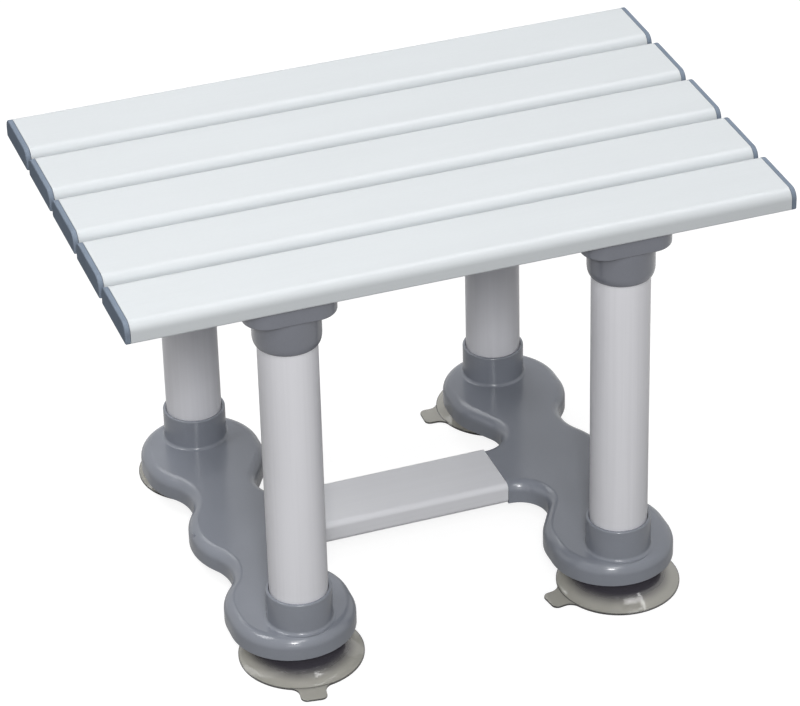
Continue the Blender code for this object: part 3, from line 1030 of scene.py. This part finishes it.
@dataclass
class BaseMouldings:
    """Two hollow grey mouldings with a lobe and a collar at each leg, and an arm inwards."""

    slab_top: float = 0.0275
    edge: float = 0.0069
    foot_edge: float = 0.0005
    wall: float = 0.0028
    lobe_radius: float = 0.0385
    lobe_x: float = 0.1032
    lobe_y: float = 0.0935
    neck_y: float = 0.0847
    bulge_radius: float = 0.046
    bulge_reach: float = 0.138
    waist_radius: float = 0.029
    arm_fillet: float = 0.0178
    fillet_x: float = 0.0638
    collar_radius: float = 0.0199
    collar_edge: float = 0.0009
    collar_fillet: float = 0.0020
    bore_floor: float = 0.018
    rib: float = 0.0022
    stud_hole: float = 0.0060
    spigot_width: float = 0.0406
    spigot_height: float = 0.0096
    gap: float = 0.0003
    sides: int = 96
    arm_x: float = field(init=False)
    arm_y: float = field(init=False)
    bottom: float = field(init=False)
    bulge: Point = field(init=False)
    neck: Point = field(init=False)

    def __post_init__(self) -> None:
        """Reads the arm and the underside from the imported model, and sets two arcs' centres."""
        self.arm_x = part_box("cross_bar")[1].x + self.gap
        self.arm_y = extent("cross_bar").y / 2
        self.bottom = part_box("base_right")[0].z
        self.bulge = (self.bulge_reach - self.bulge_radius, 0.0)
        self.neck = (self.lobe_x, self.neck_y)

    def waist(self) -> Point:
        """The hollow between the outer bulge and a lobe.

        Returns:
            The centre of its arc.
        """
        dx, dy = self.neck[0] - self.bulge[0], self.neck[1] - self.bulge[1]
        apart = math.hypot(dx, dy)
        near = self.bulge_radius + self.waist_radius
        far = self.lobe_radius + self.waist_radius
        along = (apart ** 2 + near ** 2 - far ** 2) / (2 * apart)
        aside = math.sqrt(near ** 2 - along ** 2)
        ux, uy = dx / apart, dy / apart
        return (self.bulge[0] + along * ux + aside * uy, self.bulge[1] + along * uy - aside * ux)

    def outline(self, inset: float, end_inset: float) -> list[Point]:
        """Outline of the right moulding, drawn inside itself.

        Args:
            inset: Distance to the inside along the rim.
            end_inset: The same at the arm's end, where the bar begins.

        Returns:
            As many points for every inset, anticlockwise.
        """
        bulge, neck, lobe = self.bulge, self.neck, (self.lobe_x, self.lobe_y)
        waist = self.waist()
        fillet = (self.fillet_x, self.arm_y + self.arm_fillet)
        apart = math.dist(neck, fillet)
        lean = math.degrees(math.acos((self.lobe_radius + self.arm_fillet) / apart))
        bulge_end = heading(bulge, waist)
        waist_start = bulge_end + 180.0
        waist_end = heading(waist, neck)
        neck_start = waist_end - 180.0
        inner = heading(neck, fillet) - lean
        half = arc(bulge, self.bulge_radius - inset, 0.0, bulge_end, steps=20)
        half += arc(waist, self.waist_radius + inset, waist_start, waist_end, steps=14)[1:]
        half += arc(neck, self.lobe_radius - inset, neck_start, 0.0, steps=10)[1:]
        half += arc(lobe, self.lobe_radius - inset, 0.0, 180.0, steps=48)
        half += arc(neck, self.lobe_radius - inset, 180.0, inner, steps=10)
        end_x = self.arm_x + end_inset
        reach = self.arm_fillet + inset
        past = max(0.0, (end_x - fillet[0]) / reach)
        half += arc(fillet, reach, inner - 180.0, -math.degrees(math.acos(past)), steps=24)
        half.append((end_x, self.arm_y - inset))
        return half + [(x, -y) for x, y in reversed(half[1:])]

    def slab(self, name: str) -> bpy.types.Object:
        """The hollow slab with its rounded upper rim.

        Args:
            name: Its name.

        Returns:
            The slab.
        """
        ceiling = self.slab_top - self.wall
        levels = [(ceiling, self.wall, self.wall), (self.bottom, self.wall, self.wall)]
        for inset, below in reversed(rounding(self.foot_edge, steps=3)):
            levels.append((self.bottom + below, inset, 0.0))
        for inset, below in rounding(self.edge, steps=10):
            levels.append((self.slab_top - below, inset, 0.0))
        rings = []
        for z, inset, end_inset in levels:
            rings.append([(x, y, z) for x, y in self.outline(inset, end_inset)])
        return stacked(name, rings)

    def collar_profile(self, top: float, bore: float) -> list[Point]:
        """Section of a collar's wall with its floor, from the hole in the floor outwards.

        Args:
            top: Height of the collar's rim.
            bore: Radius of the bore.

        Returns:
            Radius and height of each point, closed.
        """
        outer = self.collar_radius
        fillet = self.collar_fillet
        profile = [(self.stud_hole, self.bore_floor), (self.stud_hole, self.bottom)]
        profile += [(outer, self.bottom), (outer, self.slab_top - self.wall / 2)]
        profile.append((outer + fillet, self.slab_top - self.wall / 2))
        for rise, out in rounding(fillet, steps=8):
            profile.append((outer + out, self.slab_top + rise))
        for inset, below in rounding(self.collar_edge, steps=5):
            profile.append((outer - inset, top - below))
        for inset, below in reversed(rounding(self.collar_edge / 2, steps=3)):
            profile.append((bore + inset, top - below))
        profile.append((bore, self.bore_floor))
        return profile

    def ribs(self) -> bpy.types.Object:
        """Makes the four ribs below the slab.

        Returns:
            The ribs as one object.
        """
        half = self.rib / 2
        low = self.bottom + half
        high = self.slab_top - self.wall / 2
        reach = middle("leg_back_right").y
        spans = [((self.lobe_x - half, -reach, low), (self.lobe_x + half, reach, high))]
        spans.append(((self.arm_x + half, -half, low), (self.bulge_reach - half, half, high)))
        for y in (-self.lobe_radius, self.lobe_radius):
            near = self.lobe_x - self.lobe_radius / 2
            far = self.lobe_x + self.lobe_radius / 2
            spans.append(((near, y - half, low), (far, y + half, high)))
        ribs = prism("rib", spans[:1])
        for span in spans[1:]:
            combine(ribs, prism("rib_across", [span]), Cut.JOIN)
        return ribs

    def build(self) -> Iterator[bpy.types.Object]:
        """Makes the right moulding, and the left one as its mirror image.

        Returns:
            The pieces.
        """
        node = "base_right"
        low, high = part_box(node)
        base = self.slab(f"{node}_moulding")
        combine(base, self.ribs(), Cut.JOIN)
        bore = extent("leg_front_right").x / 2 + self.gap
        wells = Skin()
        collars = Skin()
        well = (bore + self.collar_radius) / 2
        for row in Row:
            leg = middle(f"leg_{row.word}_right")
            span = [(well, high.z), (well, self.bottom - self.wall)]
            wells.turn(span, (leg.x, leg.y), self.sides, closed=False)
            profile = self.collar_profile(high.z, bore)
            collars.turn(profile, (leg.x, leg.y), self.sides, closed=True)
        combine(base, wells.finish("wells"), Cut.REMOVE)
        combine(base, collars.finish("collars"), Cut.JOIN)
        level = (self.bottom + self.slab_top) / 2
        near = (low.x, -self.spigot_width / 2, level - self.spigot_height / 2)
        far = (self.arm_x + self.wall / 2, self.spigot_width / 2, level + self.spigot_height / 2)
        combine(base, prism("spigot", [(near, far)]), Cut.JOIN)
        twin = mirrored(base, "base_left_moulding")
        yield dress(base, node, BASE_GREY)
        yield dress(twin, "base_left", BASE_GREY)


def heading(start: Point, end: Point) -> float:
    """Angle of the line from one point to another, in degrees from 0 to 360."""
    return math.degrees(math.atan2(end[1] - start[1], end[0] - start[0])) % 360.0


@dataclass
class CrossBar:
    """White hollow bar between the two base mouldings."""

    corner: float = 0.0037
    wall: float = 0.0018
    inner_corner: float = 0.001

    def build(self) -> Iterator[bpy.types.Object]:
        """Makes the bar.

        Returns:
            The pieces.
        """
        node = "cross_bar"
        low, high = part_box(node)
        centre = middle(node)
        size = extent(node)
        outer = RoundedBox(size.y, size.z, self.corner, self.corner).outline()
        inside = RoundedBox(
            size.y - 2 * self.wall, size.z - 2 * self.wall, self.inner_corner, self.inner_corner
        )
        inner = inside.outline()
        rings = []
        for x, outline in ((low.x, outer), (high.x, outer), (high.x, inner), (low.x, inner)):
            rings.append(across(x, centre, outline))
        yield dress(stacked("cross_bar_tube", rings, closed=True), node, BAR_WHITE)


@dataclass
class SuctionCups:
    """Four smoky cups with a stud above and a pull tab at the rim."""

    radius: float = 0.038
    ring_inner: float = 0.0345
    stud_radius: float = 0.0057
    head_radius: float = 0.0082
    head_low: float = 0.0183
    head_edge: float = 0.0022
    crown_share: float = 0.6
    crown_drop: float = 0.0006
    neck_radius: float = 0.0115
    shoulder: float = 0.0127
    dome: tuple[Point, ...] = ((0.0136, 0.0105), (0.0240, 0.0072), (0.0330, 0.0031))
    hollow: tuple[Point, ...] = ((0.0290, 0.0022), (0.0160, 0.0068), (0.0, 0.0082))
    rim_top: float = 0.0013
    rim_edge: float = 0.0004
    tab_width: float = 0.016
    tab_root: float = 0.0352
    tab_reach: float = 0.0495
    tab_tip: float = 0.004
    tab_flare: float = 0.007
    tab_low: float = 0.00015
    tab_high: float = 0.00165
    tab_edge: float = 0.0004
    sides: int = 128
    angles: dict[str, float] = field(default_factory=lambda: {
        "front_left": 261.0,
        "front_right": 189.0,
        "back_left": 100.0,
        "back_right": 178.0,
    })

    def profile(self, top: float) -> list[Point]:
        """Section from the stud's head down to the rim and back under the disc.

        Args:
            top: Height of the head.

        Returns:
            Radius and height of each point.
        """
        shoulder, rim_top = (self.neck_radius, self.shoulder), (self.radius, self.rim_top)
        upper = curve([shoulder, *self.dome, rim_top], steps=6)
        under = curve([(self.ring_inner, 0.0), *self.hollow], steps=6)
        head = [
            (0.0, top),
            (self.head_radius * self.crown_share, top - self.crown_drop),
            (self.head_radius, self.head_low + self.head_edge),
            (self.head_radius, self.head_low),
            (self.stud_radius, self.head_low),
            (self.stud_radius, self.shoulder),
        ]
        rim = [(self.radius, self.rim_edge), (self.radius - self.rim_edge, 0.0)]
        return head + upper + rim + under

    def tab_outline(self, inset: float) -> list[Point]:
        """Outline of a pull tab along +X, with a rounded tip and sides that flare into the disc.

        Args:
            inset: Distance to the inside.

        Returns:
            As many points for every inset, clockwise.
        """
        half = self.tab_width / 2
        corner = (self.tab_reach - self.tab_tip, half - self.tab_tip)
        flare_y = half + self.tab_flare
        flare_x = math.sqrt((self.radius + self.tab_flare) ** 2 - flare_y ** 2)
        meet = math.degrees(math.atan2(flare_y, flare_x))
        upper = arc(corner, self.tab_tip - inset, 0, 90, steps=10)
        upper += arc((flare_x, flare_y), self.tab_flare + inset, -90, meet - 180.0, steps=12)
        root = Vector((math.cos(math.radians(meet)), math.sin(math.radians(meet))))
        upper.append(tuple(root * self.tab_root))
        return upper + [(x, -y) for x, y in reversed(upper)]

    def tab(self, centre: Point, angle: float) -> bpy.types.Object:
        """Pull tab that reaches out from the rim.

        Args:
            centre: Axis of the cup.
            angle: Direction of the tab in degrees.

        Returns:
            The tab.
        """
        turn = Matrix.Rotation(math.radians(angle), 3, "Z")
        edge = rounding(self.tab_edge, steps=3)
        levels = [(self.tab_low + below, inset) for inset, below in reversed(edge)]
        levels += [(self.tab_high - below, inset) for inset, below in edge]
        rings = []
        for z, inset in levels:
            ring = []
            for x, y in self.tab_outline(inset):
                spot = turn @ Vector((x, y, z))
                ring.append((centre[0] + spot.x, centre[1] + spot.y, spot.z))
            rings.append(ring)
        return stacked("tab", rings)

    def build(self) -> Iterator[bpy.types.Object]:
        """Makes the cups one by one.

        Returns:
            The pieces.
        """
        for corner in corners():
            node = f"suction_cup_{corner}"
            leg = middle(f"leg_{corner}")
            skin = Skin()
            profile = self.profile(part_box(node)[1].z)
            skin.turn(profile, (leg.x, leg.y), self.sides, closed=False)
            cup = skin.finish(f"{node}_disc")
            combine(cup, self.tab((leg.x, leg.y), self.angles[corner]), Cut.JOIN)
            yield dress(cup, node, CUP_SMOKE, f"cup_{corner}")


def curve(points: Sequence[Point], steps: int) -> list[Point]:
    """Points of a smooth curve through the given ones.

    Args:
        points: Points that the curve passes.
        steps: Stretches between two of them.

    Returns:
        The curve's points, both ends included.
    """
    padded = [points[0], *points, points[-1]]
    made = []
    for number in range(len(points) - 1):
        before, start, end, after = [Vector(point) for point in padded[number:number + 4]]
        for step in range(steps):
            t = step / steps
            spot = 0.5 * (
                2 * start + (end - before) * t
                + (2 * before - 5 * start + 4 * end - after) * t ** 2
                + (3 * start - before - 3 * end + after) * t ** 3
            )
            made.append((spot.x, spot.y))
    made.append(tuple(points[-1]))
    return made


@dataclass
class Screws:
    """Pan-head screws with a cross recess, up through the bearers and into the bar."""

    shank: float = 0.0016
    head_height: float = 0.0024
    head_slope: tuple[Point, ...] = ((1.0, 0.0008), (0.90, 0.0015), (0.68, 0.0021))
    flat_share: float = 0.40
    recess_width: float = 0.0008
    recess_reach: float = 0.0020
    recess_depth: float = 0.0012
    sides: int = 24

    def build_screw(self, node: str) -> bpy.types.Object:
        """Makes a screw in the place of its node.

        Args:
            node: The node.

        Returns:
            The screw.
        """
        low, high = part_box(node)
        centre = middle(node)
        radius = extent(node).x / 2
        seat = low.z + self.head_height
        profile = [
            (0.0, high.z),
            (self.shank, high.z - 2 * self.shank),
            (self.shank, seat),
            (radius, seat),
            *[(radius * share, seat - drop) for share, drop in self.head_slope],
            (radius * self.flat_share, low.z),
            (0.0, low.z),
        ]
        skin = Skin()
        skin.turn(profile, (centre.x, centre.y), self.sides, closed=False)
        screw = skin.finish(f"{node}_steel")
        half, reach = self.recess_width / 2, self.recess_reach
        bottom = low.z - self.recess_depth
        top = low.z + self.recess_depth
        for wide, deep in ((reach, half), (half, reach)):
            span = (
                (centre.x - wide, centre.y - deep, bottom),
                (centre.x + wide, centre.y + deep, top),
            )
            combine(screw, prism("recess", [span]), Cut.REMOVE)
        return screw

    def build(self) -> Iterator[bpy.types.Object]:
        """Makes every screw.

        Returns:
            The pieces.
        """
        for node in sorted(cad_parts):
            if "screw" in node:
                yield dress(self.build_screw(node), node, STEEL)


# Studio


def facing(
    aim: Place, distance: float, azimuth: float, elevation: float, roll: float = 0.0
) -> Matrix:
    """Place of a camera or lamp that looks at a point.

    Args:
        aim: The point.
        distance: Distance from it.
        azimuth: Direction in degrees from the front towards the left.
        elevation: Height above the horizon in degrees.
        roll: Turn about the line of sight in degrees.

    Returns:
        The matrix.
    """
    turn = (
        Matrix.Rotation(-math.radians(azimuth), 4, "Z")
        @ Matrix.Rotation(math.radians(90.0 - elevation), 4, "X")
        @ Matrix.Rotation(math.radians(roll), 4, "Z")
    )
    away = turn.to_3x3() @ Vector((0.0, 0.0, distance))
    return Matrix.Translation(Vector(aim) + away) @ turn


@dataclass(frozen=True)
class Lamp:
    """A square area lamp, with its direction in degrees, its side and its power in watts."""

    name: str
    azimuth: float
    elevation: float
    size: float
    power: float

    def hang(self, aim: Place, distance: float) -> None:
        """Sets the lamp up.

        Args:
            aim: The point that it faces.
            distance: Distance from it.
        """
        data = bpy.data.lights.new(self.name, "AREA")
        data.size = self.size
        data.energy = self.power
        item = add(self.name, data)
        item.matrix_world = facing(aim, distance, self.azimuth, self.elevation)


@dataclass
class Studio:
    """Pale floor, soft lamps, white surroundings and the camera."""

    focal: float = 161.38
    sensor: float = 36.0
    nearest: float = 0.05
    furthest: float = 100.0
    azimuth: float = 18.874
    elevation: float = 31.819
    roll: float = -1.542
    distance: float = 1.9339
    aim: Place = (-0.07161, -0.21375, 0.266)
    floor_size: float = 30.0
    floor_drop: float = 0.0003
    floor_grey: float = 0.28
    floor_glow: float = 0.87
    ambient: float = 0.008
    shadow_inner: float = 0.16
    shadow_outer: float = 0.40
    shadow_level: float = 0.32
    lamp_aim: Place = (0.0, 0.0, 0.13)
    lamp_distance: float = 2.4
    lamps: tuple[Lamp, ...] = (
        Lamp("key", 17.0, 36.0, size=0.30, power=18.9),
        Lamp("front_low", 17.0, 14.0, size=0.8, power=4.7),
        Lamp("front_overhead", 10.0, 52.0, size=0.8, power=11.0),
        Lamp("right_overhead", -104.0, 72.0, size=0.8, power=16.6),
        Lamp("left_overhead", 95.0, 58.0, size=0.8, power=15.9),
        Lamp("back", 172.0, 55.0, size=1.4, power=12.6),
    )

    def camera(self) -> None:
        """Sets the camera at the photograph's viewing angle."""
        data = bpy.data.cameras.new("camera")
        data.lens = self.focal
        data.sensor_width = self.sensor
        data.clip_start = self.nearest
        data.clip_end = self.furthest
        item = add("camera", data)
        item.matrix_world = facing(
            self.aim, self.distance, self.azimuth, self.elevation, self.roll
        )
        bpy.context.scene.camera = item

    def seen_white(self, graph: Graph) -> Wire:
        """A mask for the rays that show the surroundings: camera, glossy and clear ones.

        Args:
            graph: The node tree.

        Returns:
            1 for those rays and 0 for the others.
        """
        path = graph.node("ShaderNodeLightPath")
        rays = path.output("Is Camera Ray") + path.output("Is Glossy Ray")
        return graph.node("ShaderNodeClamp", None, {0: rays + path.output("Is Transmission Ray")})

    def floor(self) -> None:
        """Lays the floor just below the cups."""
        half = self.floor_size / 2
        ends = [(-half, -half), (half, -half), (half, half), (-half, half)]
        work = bmesh.new()
        work.faces.new([work.verts.new((x, y, -self.floor_drop)) for x, y in ends])
        mesh = bpy.data.meshes.new("floor")
        work.to_mesh(mesh)
        work.free()
        item = add("floor", mesh)
        mesh.materials.append(self.floor_white())

    def floor_white(self) -> bpy.types.Material:
        """The floor's finish. It looks white to the camera and through the clear cups.

        What the seat's own gloss mirrors is darker near the seat, as in the shade under it.

        Returns:
            The material.
        """
        material = bpy.data.materials.new("floor_white")
        graph = Graph(material)
        white = graph.blend(self.seen_white(graph), grey(0.0), grey(self.floor_glow))
        spot = graph.length(graph.place(LEVEL))
        near = 1.0 - graph.band(spot, self.shadow_inner, self.shadow_outer)
        path = graph.node("ShaderNodeLightPath")
        by_gloss = path.output("Is Glossy Ray") * (1.0 - path.output("Is Transmission Ray"))
        graph.finish(graph.surface({
            "Base Color": opaque(grey(self.floor_grey)),
            "Roughness": 0.9,
            "Specular IOR Level": 0.0,
            "Emission Color": graph.blend(near * by_gloss, white, grey(self.shadow_level)),
            "Emission Strength": 1.0,
        }))
        return material

    def world(self) -> None:
        """Sets an even surrounding light that looks white."""
        world = bpy.data.worlds.new("surroundings")
        bpy.context.scene.world = world
        graph = Graph(world)
        colour = graph.blend(self.seen_white(graph), grey(self.ambient), grey(1.0))
        shader = graph.node("ShaderNodeBackground", None, {"Color": colour, "Strength": 1.0})
        graph.finish(shader, "ShaderNodeOutputWorld")

    def build(self) -> None:
        """Sets up the whole studio."""
        self.camera()
        self.floor()
        self.world()
        for lamp in self.lamps:
            lamp.hang(self.lamp_aim, self.lamp_distance)
        bpy.context.scene.view_settings.view_transform = "Standard"


def main() -> None:
    """Builds every sub-assembly in order and reports its pieces."""
    logging.basicConfig(level=logging.INFO, format="%(name)s: %(message)s")
    Studio().build()
    assemblies = [
        SeatTop(),
        SeatBearers(),
        LegTubes(),
        BaseMouldings(),
        CrossBar(),
        SuctionCups(),
        Screws(),
    ]
    for assembly in assemblies:
        for piece in assembly.build():
            faces = len(piece.data.polygons)
            LOG.info("%s: %s, %d faces", type(assembly).__name__, piece.name, faces)


if __name__ == "__main__":
    main()
